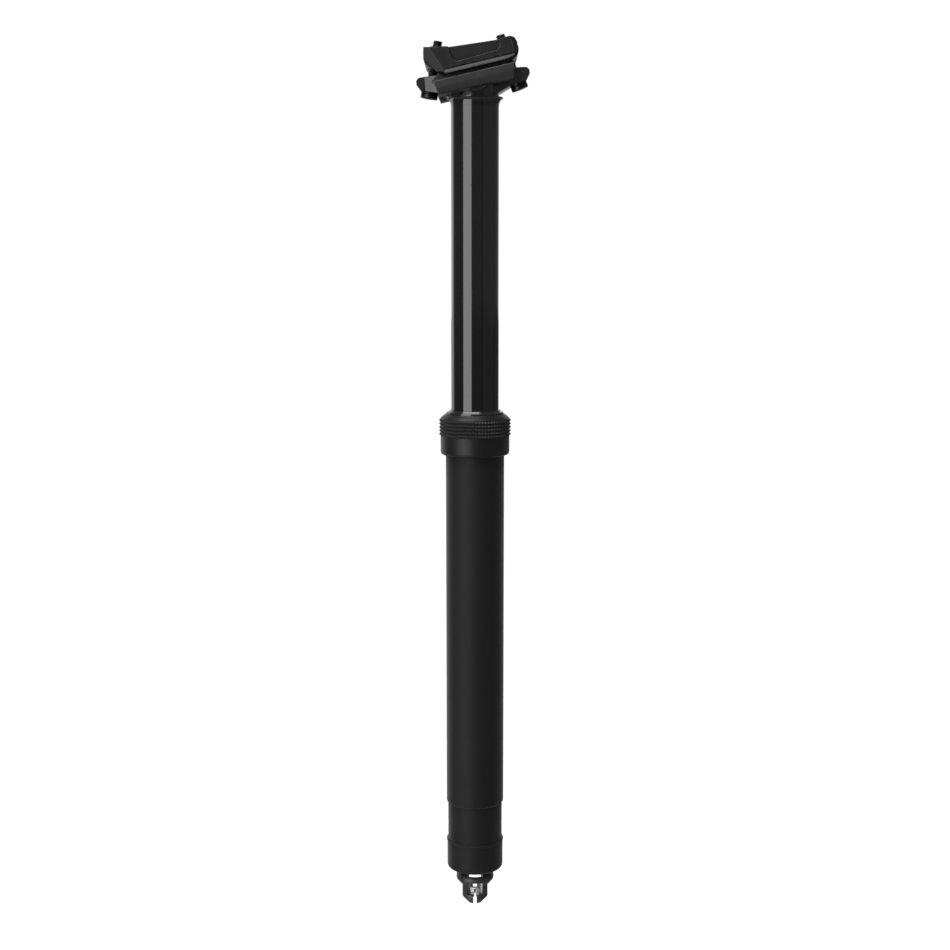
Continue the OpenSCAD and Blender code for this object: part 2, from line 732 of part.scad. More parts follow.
// Cap that seals the cylinder round the rod
module cylinder_end_cap() {
    color(silver) difference() {
        rotate_extrude() polygon([
            [0, cylinder_end - 1.3], [gas_out_r, cylinder_end - 1.3], [gas_out_r, cylinder_end],
            [gas_r, cylinder_end], [gas_r, cylinder_end + end_cap_h], [0, cylinder_end + end_cap_h]
        ]);
        translate([0, 0, cylinder_end - 2]) cylinder(r = rod_r + bush_gap, h = end_cap_h + 4);
        translate([0, 0, cylinder_end + end_cap_h / 2 - 1]) cylinder(r = rod_r + 1.5, h = 2);
    }
}

// Seal round the piston rod
module rod_seal() {
    color(rubber_black)
        ring(rod_r + 1.5, rod_r + 0.02, cylinder_end + end_cap_h / 2 - 1, cylinder_end + end_cap_h / 2 + 1);
}

// Plug that closes the cylinder and seats in the head
module cylinder_top_plug() {
    color(silver) rotate_extrude() polygon([
        [0, cylinder_top - plug_h + plug_flange_h], [gas_r - 0.5, cylinder_top - plug_h + plug_flange_h],
        [gas_r, cylinder_top - plug_h + plug_flange_h + 0.5], [gas_r, cylinder_top],
        [gas_out_r, cylinder_top], [gas_out_r, plug_top], [0, plug_top]
    ]);
}

// Ring that locks the cartridge in the stanchion
module cartridge_lock_ring() {
    color(silver) difference() {
        ring(post_in_r, gas_out_r, post_end, post_end + lock_ring_h);
        for (a = [0, 90]) rotate([0, 0, a])
            translate([-post_r, -1, post_end - 1]) cube([2 * post_r, 2, 2]);
    }
}

// Piston that parts the oil from the gas
module floating_piston() {
    color(silver) difference() {
        translate([0, 0, floating_end]) cylinder(r = gas_r - 0.1, h = floating_h);
        ring(gas_r + 1, gas_r - 1.2, floating_end + 2.5, floating_end + 4.5);
        translate([0, 0, floating_end + 3]) cylinder(r = gas_r - 3, h = floating_h);
    }
}

// Seal of the floating piston
module floating_seal() {
    color(rubber_black) ring(gas_r - 0.02, gas_r - 1.2, floating_end + 2.5, floating_end + 4.5);
}

// Measures of the head and the clamp
bolt_lean = atan(nut_rise / nut_x);
bolt_hole_r = bolt_r + bolt_gap;
boss_r = nut_r + nut_gap + boss_wall;
rail_low = rail_drop + clamp_gap / 2;
rail_high = rail_drop - clamp_gap / 2;
lip_r = rail_r + rail_wall;
face_y = rail_y + face_out;
lip_y = rail_y + sqrt(lip_r * lip_r - clamp_gap * clamp_gap / 4);
ridge_y = rail_y - lip_r - ridge_gap;

// The head's own frame, which starts at the stanchion's top and leans forward
module on_neck() {
    translate([0, 0, post_top]) rotate([0, -head_lean, 0]) children();
}

// A bolt's frame, with its barrel nut's middle as the origin; front is -1 and rear is 1
module at_bolt(side) {
    on_neck() mirror([side < 0 ? 1 : 0, 0, 0])
        translate([nut_x, 0, tilt_h + nut_rise]) rotate([0, -bolt_lean, 0]) children();
}

// The clamp's frame, with the tilt axis as the origin and the rails along X
module on_rails() {
    on_neck() translate([0, 0, tilt_h]) rotate([0, head_lean - rail_slope, 0]) children();
}

// An outline seen from the side, made solid across the object
module across(width) {
    rotate([90, 0, 0]) linear_extrude(width, center = true) children();
}

// A point on an ear, measured along the ear's flat and along the bolt
function ear_point(t, d) = [
    nut_x + t * cos(bolt_lean) - d * sin(bolt_lean),
    tilt_h + nut_rise + t * sin(bolt_lean) + d * cos(bolt_lean)
];

// Arms of the head, from the side outline and the plan
module head_arms() {
    tip = ear_point(ear_flat, -ear_seat);
    half = [
        [post_r - 2.9, 0], ear_point(0.2 - ear_flat, -ear_seat), tip,
        [tip.x + 1.2, tip.y + 2], [ear_end, tip.y + 3.2], [ear_end, ear_top - 1.3], [ear_end - 1.3, ear_top]
    ];
    side = concat(half, [for (i = [len(half) - 1 : -1 : 0]) [-half[i].x, half[i].y]]);
    plan = [for (sx = [-1, 1]) each [for (p = [
        [sx * 5, -sx * arm_root_y], [sx * (ear_end - 4.6), -sx * arm_tip_y], [sx * ear_end, -sx * arm_end_y],
        [sx * ear_end, sx * arm_end_y], [sx * (ear_end - 4.6), sx * arm_tip_y], [sx * 5, sx * arm_root_y]
    ]) p]];
    intersection() {
        on_neck() across(4 * post_r) polygon(side);
        on_neck() translate([0, 0, -post_r]) linear_extrude(3 * post_r) polygon(plan);
        translate([0, 0, post_top]) cylinder(r = 2 * ear_end, h = 4 * post_r);
    }
}

// Head with its spigot, its cartridge socket, the tilt seat and two bolt ears
module head() {
    color(black) difference() {
        union() {
            translate([0, 0, post_top - head_spigot]) cylinder(r = post_in_r, h = head_spigot + 1);
            intersection() {
                translate([0, 0, post_top]) cylinder(r = post_r, h = 2 * post_r);
                on_neck() translate([-2 * post_r, -2 * post_r, ear_top - 4 * post_r]) cube(4 * post_r);
            }
            head_arms();
        }
        on_neck() translate([0, 0, tilt_h]) rotate([90, 0, 0])
            cylinder(r = seat_r + seat_gap, h = 4 * post_r, center = true, $fn = 128);
        for (side = [-1, 1]) at_bolt(side) {
            cylinder(r = bolt_hole_r, h = 4 * ear_seat, center = true, $fn = 48);
            translate([0, 0, -ear_seat - 20]) cylinder(r = washer_r + 0.6, h = 20);
        }
        translate([0, 0, post_top - head_spigot - 1])
            cylinder(r = gas_out_r, h = head_spigot - socket_drop + 1);
    }
}

// Lower half of the clamp: a rocker between two rail troughs
module lower_cradle() {
    ridge = -0.7;
    low = -cradle_depth;
    edge_r = 4;
    side = [
        [1.5 - cradle_front, low], [cradle_rear - 1.8, low], [cradle_rear, -rail_low],
        [cradle_rear + 0.4, -rail_drop], [14.6, -rail_drop], [11.8, ridge],
        [3.6 - cradle_front, ridge], [-cradle_front - 1, -rail_drop], [-cradle_front, -rail_low]
    ];
    color(black) on_rails() difference() {
        union() {
            intersection() {
                rotate([90, 0, 0]) cylinder(r = seat_r, h = 2 * rocker_y + 1, center = true, $fn = 128);
                translate([-seat_r, -rocker_y - 1, -seat_r - 1])
                    cube([2 * seat_r, 2 * rocker_y + 2, seat_r + 1 + ridge]);
            }
            intersection() {
                across(2 * lip_y + 2) polygon(side);
                for (m = [0, 1]) mirror([0, m, 0])
                    rotate([90, 0, 90]) linear_extrude(4 * seat_r, center = true) {
                        translate([rocker_y, low]) square([ridge_y - rocker_y, ridge - low]);
                        translate([ridge_y - 0.5, low + edge_r])
                            square([lip_y - ridge_y + 0.5, -rail_low - low - edge_r]);
                        translate([ridge_y - 0.5, low])
                            square([lip_y - edge_r - ridge_y + 0.5, edge_r + 0.1]);
                        translate([lip_y - edge_r, low + edge_r]) circle(r = edge_r, $fn = 64);
                    }
            }
        }
        for (m = [-1, 1]) translate([0, m * rail_y, -rail_drop]) rotate([0, 90, 0])
            cylinder(r = rail_r, h = 6 * seat_r, center = true);
        translate([-2 * seat_r, -rocker_y + 3.4, -7]) cube([4 * seat_r, 2 * rocker_y - 6.8, 8]);
    }
}

// Outline of the upper clamp's side, in the clamp's frame
function clamp_outline() = [
    [-22.3, 12.9], [-23.3, 9.4], [-22.65, 7.2], [-20.75, 4.2], [-17.7, -1], [-16.6, -rail_high],
    [17.2, -rail_high], [21.6, -rail_high + 1.1], [22.8, 0.4], [24.4, 2.2], [24.8, 5], [23.8, 7.4],
    [21.5, 8.3], [15.2, 8], [2, 9.05], [-9.4, 10], [-11.5, 10.6], [-18, 11.6]
];

// Pocket in the upper clamp's side
function pocket_outline() = [
    [-9.9, 20], [-10.2, 6.8], [-9.8, 4.6], [-8.9, 3.2], [-7.4, 2], [14, 2.9], [15.6, 4.2], [16.1, 7.3],
    [16.1, 20]
];

// Upper half of the clamp: two side beams joined by the bosses of the barrel nuts
module upper_clamp() {
    beam_y = rail_y - rail_r - 1.5;
    color(black) difference() {
        union() {
            on_rails() difference() {
                intersection() {
                    across(2 * lip_y + 2) polygon(clamp_outline());
                    for (m = [0, 1]) mirror([0, m, 0])
                        rotate([90, 0, 90]) linear_extrude(6 * seat_r, center = true) {
                            translate([beam_y, 0]) square([face_y - beam_y, 20]);
                            difference() {
                                translate([rail_y, -rail_drop]) circle(r = lip_r);
                                translate([ridge_y - 5, -rail_drop - 10])
                                    square([20, 10 + clamp_gap / 2]);
                            }
                        }
                }
                for (m = [0, 1]) mirror([0, m, 0]) {
                    translate([0, face_y - pocket_depth, 0]) rotate([90, 0, 0])
                        translate([0, 0, -5]) linear_extrude(5) polygon(pocket_outline());
                    translate([-17.6, face_y, 6.6]) rotate([0, -21.6, 0]) rotate([0, 0, 32])
                        translate([-20, 0, -20]) cube([20, 10, 40]);
                    translate([22, face_y, 0]) rotate([0, 0, -50])
                        translate([0, 0, -20]) cube([20, 10, 40]);
                }
            }
            for (side = [-1, 1]) at_bolt(side) rotate([90, 0, 0])
                cylinder(r = boss_r, h = 2 * beam_y + 2, center = true);
        }
        for (m = [-1, 1]) on_rails() translate([0, m * rail_y, -rail_drop]) rotate([0, 90, 0])
            cylinder(r = rail_r, h = 6 * seat_r, center = true);
        for (side = [-1, 1]) at_bolt(side) nut_pocket();
    }
}

// Open-topped seat of a barrel nut, with the slot that lets the bolt tilt
module nut_pocket() {
    swing = (boss_r + 1) * tan(tilt_range) + 0.1;
    width = 2 * (nut_y + 0.3);
    rotate([90, 0, 0]) cylinder(r = nut_r + nut_gap, h = width, center = true);
    translate([-nut_r - nut_gap, -width / 2, 0]) cube([2 * (nut_r + nut_gap), width, 4 * nut_r]);
    for (s = [-1, 1]) translate([s * swing, 0, -3 * nut_r])
        cylinder(r = bolt_hole_r, h = 3 * nut_r, $fn = 48);
    translate([-swing, -bolt_hole_r, -3 * nut_r]) cube([2 * swing, 2 * bolt_hole_r, 3 * nut_r]);
}

// Clamp bolt with its head below the ear
module clamp_bolt(side) {
    head_top = -ear_seat - washer_h;
    color(dark_grey) at_bolt(side) difference() {
        rotate_extrude() polygon([
            [0, head_top - bolt_head_h], [bolt_head_r - 0.6, head_top - bolt_head_h],
            [bolt_head_r, head_top - bolt_head_h + 0.6], [bolt_head_r, head_top], [bolt_r, head_top],
            [bolt_r, bolt_tip - 0.5], [bolt_r - 0.5, bolt_tip], [0, bolt_tip]
        ]);
        translate([0, 0, head_top - bolt_head_h - 1])
            cylinder(r = bolt_key_af / 2 / cos(30), h = 1 + bolt_head_h * 0.7, $fn = 6);
    }
}

// Washer between a bolt's head and its ear
module clamp_washer(side) {
    color(silver) at_bolt(side) ring(washer_r, bolt_hole_r, -ear_seat - washer_h, -ear_seat);
}

// Barrel nut that its bolt pulls down
module barrel_nut(side) {
    color(silver) at_bolt(side) difference() {
        rotate([90, 0, 0]) cylinder(r = nut_r, h = 2 * nut_y, center = true);
        cylinder(r = bolt_hole_r, h = 4 * nut_r, center = true, $fn = 48);
    }
}

module front_bolt() { clamp_bolt(-1); }
module rear_bolt() { clamp_bolt(1); }
module front_washer() { clamp_washer(-1); }
module rear_washer() { clamp_washer(1); }
module front_nut() { barrel_nut(-1); }
module rear_nut() { barrel_nut(1); }

outer_tube();
collar();
wiper_seal();
collar_seal();
upper_bushing();
base_housing();
bottom_bumper();
base_grub_screws();
base_cap();
cable_cage();
piston_rod();
rod_nut();
piston();
piston_seal();
cable_carriage();
cable_barrel();
valve_pull_rod();
return_spring();
stanchion();
head();
lower_guide();
guide_keys();
gas_cylinder();
cylinder_end_cap();
rod_seal();
cylinder_top_plug();
cartridge_lock_ring();
floating_piston();
floating_seal();
lower_cradle();
upper_clamp();
front_bolt();
rear_bolt();
front_washer();
rear_washer();
front_nut();
rear_nut();
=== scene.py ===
"""Dropper seatpost, dressed for rendering: finishes, softened forgings, threaded bolts and a spring."""

import json
import logging
import math
from dataclasses import dataclass
from enum import Enum
from typing import Any

import bpy
from mathutils import Matrix, Vector


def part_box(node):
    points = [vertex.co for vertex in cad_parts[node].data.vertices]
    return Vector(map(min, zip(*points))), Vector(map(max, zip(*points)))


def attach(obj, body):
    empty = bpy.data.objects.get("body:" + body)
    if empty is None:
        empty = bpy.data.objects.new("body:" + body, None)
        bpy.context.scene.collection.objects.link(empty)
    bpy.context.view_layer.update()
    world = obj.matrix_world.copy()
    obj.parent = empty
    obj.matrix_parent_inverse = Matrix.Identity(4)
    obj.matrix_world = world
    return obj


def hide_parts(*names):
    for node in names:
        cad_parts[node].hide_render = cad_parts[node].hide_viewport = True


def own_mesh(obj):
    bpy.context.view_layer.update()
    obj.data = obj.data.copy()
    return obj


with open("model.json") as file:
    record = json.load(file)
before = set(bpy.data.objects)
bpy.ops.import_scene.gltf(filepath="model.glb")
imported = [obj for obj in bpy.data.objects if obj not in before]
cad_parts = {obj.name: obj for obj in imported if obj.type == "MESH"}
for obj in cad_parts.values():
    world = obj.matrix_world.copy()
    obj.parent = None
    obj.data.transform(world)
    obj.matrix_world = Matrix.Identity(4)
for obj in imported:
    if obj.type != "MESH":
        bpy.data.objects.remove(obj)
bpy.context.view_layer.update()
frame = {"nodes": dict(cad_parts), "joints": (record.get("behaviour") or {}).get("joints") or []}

MM = 0.001
LOG = logging.getLogger("seatpost")

# Cosines between the rounded and the flat normal at which an edge starts to rub and is rubbed through.
RUB_STARTS = 0.995
RUB_ENDS = 0.86
# How fine the scuffs are, and the levels between which they break up the rubbed edges.
SCUFFS_PER_METRE = 700.0
SCUFF_LEVELS = (0.42, 0.62)
# Levels of the patches between which the roughness goes from its least to its most.
PATCH_LEVELS = (0.3, 0.7)
SHEEN_ROUGHNESS = 0.35
# Vertices of a CAD mesh closer than this, in millimetres, are one, and faces that turn by less than this
# many degrees are one flat.
SAME_PLACE = 0.004
SAME_FLAT = 0.6
# Edges that turn by more than this, in degrees, stay crisp: on rounded parts, turned parts and round wire.
CRISP_ROUNDED = 24
CRISP_TURNED = 30
CRISP_WIRE = 60
# How strongly large faces pull the shading of a rounded part flat, from 1 to 100.
FLAT_PULL = 80
# Vertices of a screwed mesh closer than this, in millimetres, are one.
SEAM = 0.001


def linear(colour: str) -> tuple[float, float, float, float]:
    """Turns an sRGB hex colour into linear light.

    Args:
        colour: A colour such as "#202122".

    Returns:
        Red, green, blue and an alpha of 1, as the shader sockets take them.
    """
    parts = [int(colour[i:i + 2], 16) / 255 for i in (1, 3, 5)]
    red, green, blue = [c / 12.92 if c <= 0.04045 else ((c + 0.055) / 1.055) ** 2.4 for c in parts]
    return red, green, blue, 1.0


def add_node(tree: bpy.types.NodeTree, kind: str, values: dict[Any, Any] | None = None,
             links: dict[Any, bpy.types.NodeSocket] | None = None, **settings: Any) -> bpy.types.Node:
    """Adds one shader node with its settings, socket values and incoming links.

    Args:
        tree: The node tree that gets the node.
        kind: The node's type name.
        values: Socket values, by socket name or number.
        links: Output sockets to link, by the name or number of this node's input.
        settings: Properties of the node itself.

    Returns:
        The new node.
    """
    node = tree.nodes.new(kind)
    for name, value in settings.items():
        setattr(node, name, value)
    for name, value in (values or {}).items():
        node.inputs[name].default_value = value
    for name, socket in (links or {}).items():
        tree.links.new(socket, node.inputs[name])
    return node


class Lay(Enum):
    """Direction of the marks that a process leaves, as the pattern's fineness along X, Y and Z."""

    EVEN = (1.0, 1.0, 1.0)
    RINGS = (0.04, 0.04, 1.0)
    LENGTHWISE = (1.0, 1.0, 0.03)
    ALONG_RAILS = (0.08, 1.0, 1.0)


@dataclass(frozen=True)
class Finish:
    """A real surface finish and how it was made.

    Lengths are in millimetres. Roughness wanders by `spread` over patches of `patch` size, and edges
    rub to the `worn` colour by the share `wear`.
    """

    name: str
    slot: str
    colour: str
    roughness: float
    metallic: float = 0.0
    ior: float = 1.5
    lay: Lay = Lay.EVEN
    grain: float = 0.25
    relief: float = 0.003
    spread: float = 0.05
    patch: float = 9.0
    mottle: float = 0.12
    edge: float = 0.12
    wear: float = 0.0
    worn: str = "#6a6a6c"
    sheen: float = 0.0

    def coordinates(self, tree: bpy.types.NodeTree) -> tuple[bpy.types.NodeSocket, bpy.types.NodeSocket]:
        """Gives the pattern's coordinates, with and without the lay of the surface.

        Args:
            tree: The material's node tree.

        Returns:
            Object coordinates stretched by the lay, and the plain ones.
        """
        place = add_node(tree, "ShaderNodeTexCoord").outputs["Object"]
        laid = add_node(tree, "ShaderNodeMapping", {"Scale": self.lay.value}, {"Vector": place})
        return laid.outputs["Vector"], place

    def patches(self, tree: bpy.types.NodeTree, place: bpy.types.NodeSocket) -> bpy.types.NodeSocket:
        """Makes slow patches of handling and uneven dye, as a value from 0 to 1.

        Args:
            tree: The material's node tree.
            place: The plain coordinates.

        Returns:
            The patches' output socket.
        """
        cloud = add_node(tree, "ShaderNodeTexNoise", {"Scale": 1000 / self.patch, "Detail": 4.0,
                                                      "Roughness": 0.6}, {"Vector": place})
        return cloud.outputs["Fac"]

    def edge_mask(self, tree: bpy.types.NodeTree, place: bpy.types.NodeSocket,
                  rounded: bpy.types.NodeSocket) -> bpy.types.NodeSocket:
        """Finds the edges where a rounded normal leaves the flat one, broken up by scuffs.

        Args:
            tree: The material's node tree.
            place: The plain coordinates.
            rounded: The normal of the rounded surface.

        Returns:
            The worn share at each point.
        """
        flat = add_node(tree, "ShaderNodeNewGeometry").outputs["Normal"]
        turn = add_node(tree, "ShaderNodeVectorMath", links={0: rounded, 1: flat}, operation="DOT_PRODUCT")
        near = add_node(tree, "ShaderNodeMapRange", {"From Min": RUB_STARTS, "From Max": RUB_ENDS},
                        {"Value": turn.outputs["Value"]})
        scuff = add_node(tree, "ShaderNodeTexNoise",
                         {"Scale": SCUFFS_PER_METRE, "Detail": 5.0, "Roughness": 0.7}, {"Vector": place})
        broken = add_node(tree, "ShaderNodeMapRange",
                          {"From Min": SCUFF_LEVELS[0], "From Max": SCUFF_LEVELS[1]},
                          {"Value": scuff.outputs["Fac"]})
        both = add_node(tree, "ShaderNodeMath", {}, {0: near.outputs["Result"], 1: broken.outputs["Result"]},
                        operation="MULTIPLY")
        return add_node(tree, "ShaderNodeMath", {1: self.wear}, {0: both.outputs["Value"]},
                        operation="MULTIPLY").outputs["Value"]

    def material(self) -> bpy.types.Material:
        """Builds the finish as a procedural material.

        Returns:
            The material, named for the finish.
        """
        made = bpy.data.materials.get(self.name)
        if made:
            return made
        made = bpy.data.materials.new(self.name)
        made.use_nodes = True
        made.diffuse_color = linear(self.colour)
        tree = made.node_tree
        tree.nodes.clear()
        laid, place = self.coordinates(tree)
        patches = self.patches(tree, place)
        grain = add_node(tree, "ShaderNodeTexNoise", {"Scale": 1000 / self.grain, "Detail": 3.0,
                                                      "Roughness": 0.55}, {"Vector": laid})
        rounded = add_node(tree, "ShaderNodeBevel", {"Radius": self.edge * MM}, samples=4)
        bump = add_node(tree, "ShaderNodeBump", {"Strength": 1.0, "Distance": self.relief * MM},
                        {"Height": grain.outputs["Fac"], "Normal": rounded.outputs["Normal"]})
        rough = add_node(tree, "ShaderNodeMapRange",
                         {"From Min": PATCH_LEVELS[0], "From Max": PATCH_LEVELS[1],
                          "To Min": self.roughness - self.spread, "To Max": self.roughness + self.spread},
                         {"Value": patches})
        base = linear(self.colour)
        deep = tuple(c * (1 - self.mottle) for c in base[:3]) + (1.0,)
        pale = tuple(c * (1 + self.mottle) for c in base[:3]) + (1.0,)
        dye = add_node(tree, "ShaderNodeMix", {"A": deep, "B": pale}, data_type="RGBA")
        tree.links.new(patches, dye.inputs["Factor"])
        colour = dye.outputs["Result"]
        if self.wear:
            mask = self.edge_mask(tree, place, rounded.outputs["Normal"])
            colour = add_node(tree, "ShaderNodeMix", {"B": linear(self.worn)}, {"Factor": mask, "A": colour},
                              data_type="RGBA").outputs["Result"]
        shader = add_node(tree, "ShaderNodeBsdfPrincipled",
                          {"Metallic": self.metallic, "IOR": self.ior, "Sheen Weight": self.sheen,
                           "Sheen Roughness": SHEEN_ROUGHNESS},
                          {"Base Color": colour, "Roughness": rough.outputs["Result"],
                           "Normal": bump.outputs["Normal"]})
        add_node(tree, "ShaderNodeOutputMaterial", links={"Surface": shader.outputs["BSDF"]})
        return made


# Hard anodised and sealed black aluminium: the tumbled surface under the film gives a soft, even sheen.
SATIN_BLACK = Finish("satin black anodised aluminium", "satin_black", "#0f0f10", 0.60, ior=1.28,
                     sheen=0.22, lay=Lay.RINGS, grain=0.35, relief=0.0015, spread=0.04, mottle=0.10,
                     wear=0.2, worn="#47474a")
# The same film over a finer turned surface: the screw collar's crown and knurl catch sharper lights.
CROWN_BLACK = Finish("fine turned black anodised aluminium", "satin_black", "#0f0f10", 0.40, ior=1.33,
                     sheen=0.10, lay=Lay.RINGS, grain=0.3, relief=0.001, spread=0.03, mottle=0.08,
                     edge=0.06, wear=0.15, worn="#4c4c50")
# Ground and polished before a glossy black anodising: sharp reflections, broken by faint grinding rings.
GLOSS_BLACK = Finish("polished black anodised aluminium", "gloss_black", "#0c0c0d", 0.07, ior=1.62,
                     lay=Lay.RINGS, grain=0.5, relief=0.0003, spread=0.03, mottle=0.06, edge=0.2)
# Forged aluminium, shot blasted and anodised: a fine pebbled grain and edges that catch the light.
FORGED_BLACK = Finish("blasted black anodised forging", "forged_black", "#1a1a1b", 0.36, ior=1.31, grain=0.55,
                      relief=0.003, spread=0.06, mottle=0.14, edge=0.55, wear=0.6, worn="#77777b")
# The forged head keeps the die's smoother skin under the film, so its facets throw back the lamps.
HEAD_BLACK = Finish("smooth black anodised forging", "forged_black", "#131314", 0.22, ior=1.6, grain=0.5,
                    relief=0.002, spread=0.04, mottle=0.12, edge=0.5, wear=0.15, worn="#55555a")
# Machined after forging and blasted finer, with drawn-out lights. The cradle's colour is painted light: a
# shade paler than the clamp's, standing in for the light its curved faces catch.
CRADLE_BLACK_PAINTED_LIGHTER = Finish("fine blasted black anodised aluminium painted lighter", "forged_black", "#222224", 0.33, grain=0.4,
                      lay=Lay.ALONG_RAILS, relief=0.002, spread=0.05, mottle=0.10, edge=0.5, wear=0.6,
                      worn="#8a8a8e")
# Die-cast alloy with a dark grey coat: duller than the anodised tube, with a slight orange-peel ripple.
CAGE_GREY = Finish("dark grey coated casting", "cage_grey", "#262628", 0.42, grain=0.9, relief=0.008,
                   spread=0.06, mottle=0.10, edge=0.25, wear=0.2, worn="#7a7a7e")
# Alloy steel with a chemical black oxide: metal that stays dark, with turning marks round its shank.
BLACK_OXIDE = Finish("black oxide steel", "bolt_black", "#2c2c2e", 0.30, metallic=1.0, lay=Lay.RINGS,
                     grain=0.3, relief=0.002, spread=0.08, mottle=0.15, wear=0.35, worn="#a2a2a6")
# Turned stainless steel left bare: bright rings from the lathe.
PLAIN_STEEL = Finish("turned steel", "plain_steel", "#c4c5c8", 0.26, metallic=1.0, lay=Lay.RINGS,
                     grain=0.3, relief=0.0015, spread=0.05, mottle=0.05)
# Zinc die castings, tumbled and nickel plated: the cable's barrel and carriage are a pale, soft grey.
NICKEL = Finish("tumbled nickel-plated zinc", "plain_steel", "#dcdcda", 0.62, metallic=1.0, grain=0.3,
                relief=0.002, spread=0.05, mottle=0.05, edge=0.2)
# Turned aluminium left bare: paler and softer than the steel.
PLAIN_ALUMINIUM = Finish("turned aluminium", "plain_aluminium", "#d2d3d6", 0.32, metallic=1.0,
                         lay=Lay.RINGS, grain=0.3, relief=0.002, spread=0.05, mottle=0.05)
# Moulded nitrile rubber: nearly matt, with a bloom that comes and goes over it.
RUBBER = Finish("moulded rubber", "rubber", "#131314", 0.62, grain=0.5, relief=0.004, spread=0.10,
                mottle=0.2, ior=1.52, edge=0.2)
# Polished mould, oiled lip: the wiper is black rubber with a wet-looking rim.
SEAL_RUBBER = Finish("oiled nitrile wiper rubber", "rubber", "#161617", 0.16, ior=1.6, grain=0.4,
                     relief=0.001, spread=0.04, mottle=0.1, edge=0.15)
# Pressed wool felt: coarse loose fibres and no shine.
FELT = Finish("pressed felt", "felt", "#6d6a63", 0.95, grain=0.35, relief=0.08, spread=0.03, mottle=0.3)
# Machined acetal: a waxy off-white with a soft shine.
BUSH_POLYMER = Finish("machined acetal", "bush_polymer", "#cfccc2", 0.42, grain=0.4, relief=0.003,
                      mottle=0.05, ior=1.48)
# Turned brass guide keys: yellow metal with lengthwise marks from sliding.
BRASS = Finish("turned brass", "brass", "#c8a050", 0.28, metallic=1.0, lay=Lay.LENGTHWISE, grain=0.3,
               relief=0.002, mottle=0.08)


def select_only(piece: bpy.types.Object) -> None:
    """Deselects everything and makes one object selected and active.

    Args:
        piece: The object to work on.
    """
    bpy.ops.object.select_all(action="DESELECT")
    piece.select_set(True)
    bpy.context.view_layer.objects.active = piece


def apply_modifier(piece: bpy.types.Object, kind: str, **settings: Any) -> None:
    """Adds a modifier with its settings and applies it.

    Args:
        piece: The object to change.
        kind: The modifier's type name.
        settings: Properties of the modifier.
    """
    select_only(piece)
    modifier = piece.modifiers.new(kind.title(), kind)
    for name, value in settings.items():
        setattr(modifier, name, value)
    bpy.ops.object.modifier_apply(modifier=modifier.name)


def dress(piece: bpy.types.Object, finish: Finish) -> None:
    """Gives a piece one finish all over.

    Args:
        piece: A CAD node or a new piece.
        finish: The finish of its surface.
    """
    piece.data.materials.clear()
    piece.data.materials.append(finish.material())


def place(piece: bpy.types.Object, finish: Finish, body: str, *nodes: str) -> None:
    """Dresses a new piece, lets it ride on its body and stands it in for CAD nodes.

    Args:
        piece: The finished piece.
        finish: The finish of its surface.
        body: The CAD body that carries it.
        nodes: The CAD nodes it stands for.
    """
    dress(piece, finish)
    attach(piece, body)
    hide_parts(*nodes)
    LOG.info("%s stands for %s with %d faces", piece.name, ", ".join(nodes), len(piece.data.polygons))


def merged_copy(node: str, name: str) -> bpy.types.Object:
    """Copies a CAD node's mesh to a new object with its doubles merged and its flats in one face each.

    Args:
        node: The CAD node.
        name: The new object's name.

    Returns:
        The new object.
    """
    copy = bpy.data.objects.new(name, frame["nodes"][node].data.copy())
    bpy.context.scene.collection.objects.link(copy)
    select_only(copy)
    bpy.ops.mesh.customdata_custom_splitnormals_clear()
    bpy.ops.object.mode_set(mode="EDIT")
    bpy.ops.mesh.select_all(action="SELECT")
    bpy.ops.mesh.remove_doubles(threshold=SAME_PLACE * MM)
    bpy.ops.mesh.dissolve_limited(angle_limit=math.radians(SAME_FLAT))
    bpy.ops.object.mode_set(mode="OBJECT")
    return copy


def softened(node: str, name: str, width: float, segments: int = 2, limit: float = 18.0) -> bpy.types.Object:
    """Copies a CAD node and rounds its sharp edges, as blasting, tumbling or a mould leaves them.

    Args:
        node: The CAD node.
        name: The new object's name.
        width: The rounding's width in millimetres.
        segments: Faces across the rounding.
        limit: Edges that turn by more than this angle, in degrees, are rounded.

    Returns:
        The new object.
    """
    piece = merged_copy(node, name)
    apply_modifier(piece, "BEVEL", width=width * MM, segments=segments, limit_method="ANGLE",
                   angle_limit=math.radians(limit), use_clamp_overlap=True, miter_outer="MITER_ARC")
    select_only(piece)
    bpy.ops.object.shade_smooth_by_angle(angle=math.radians(CRISP_ROUNDED))
    apply_modifier(piece, "WEIGHTED_NORMAL", mode="FACE_AREA", weight=FLAT_PULL, keep_sharp=True)
    return piece


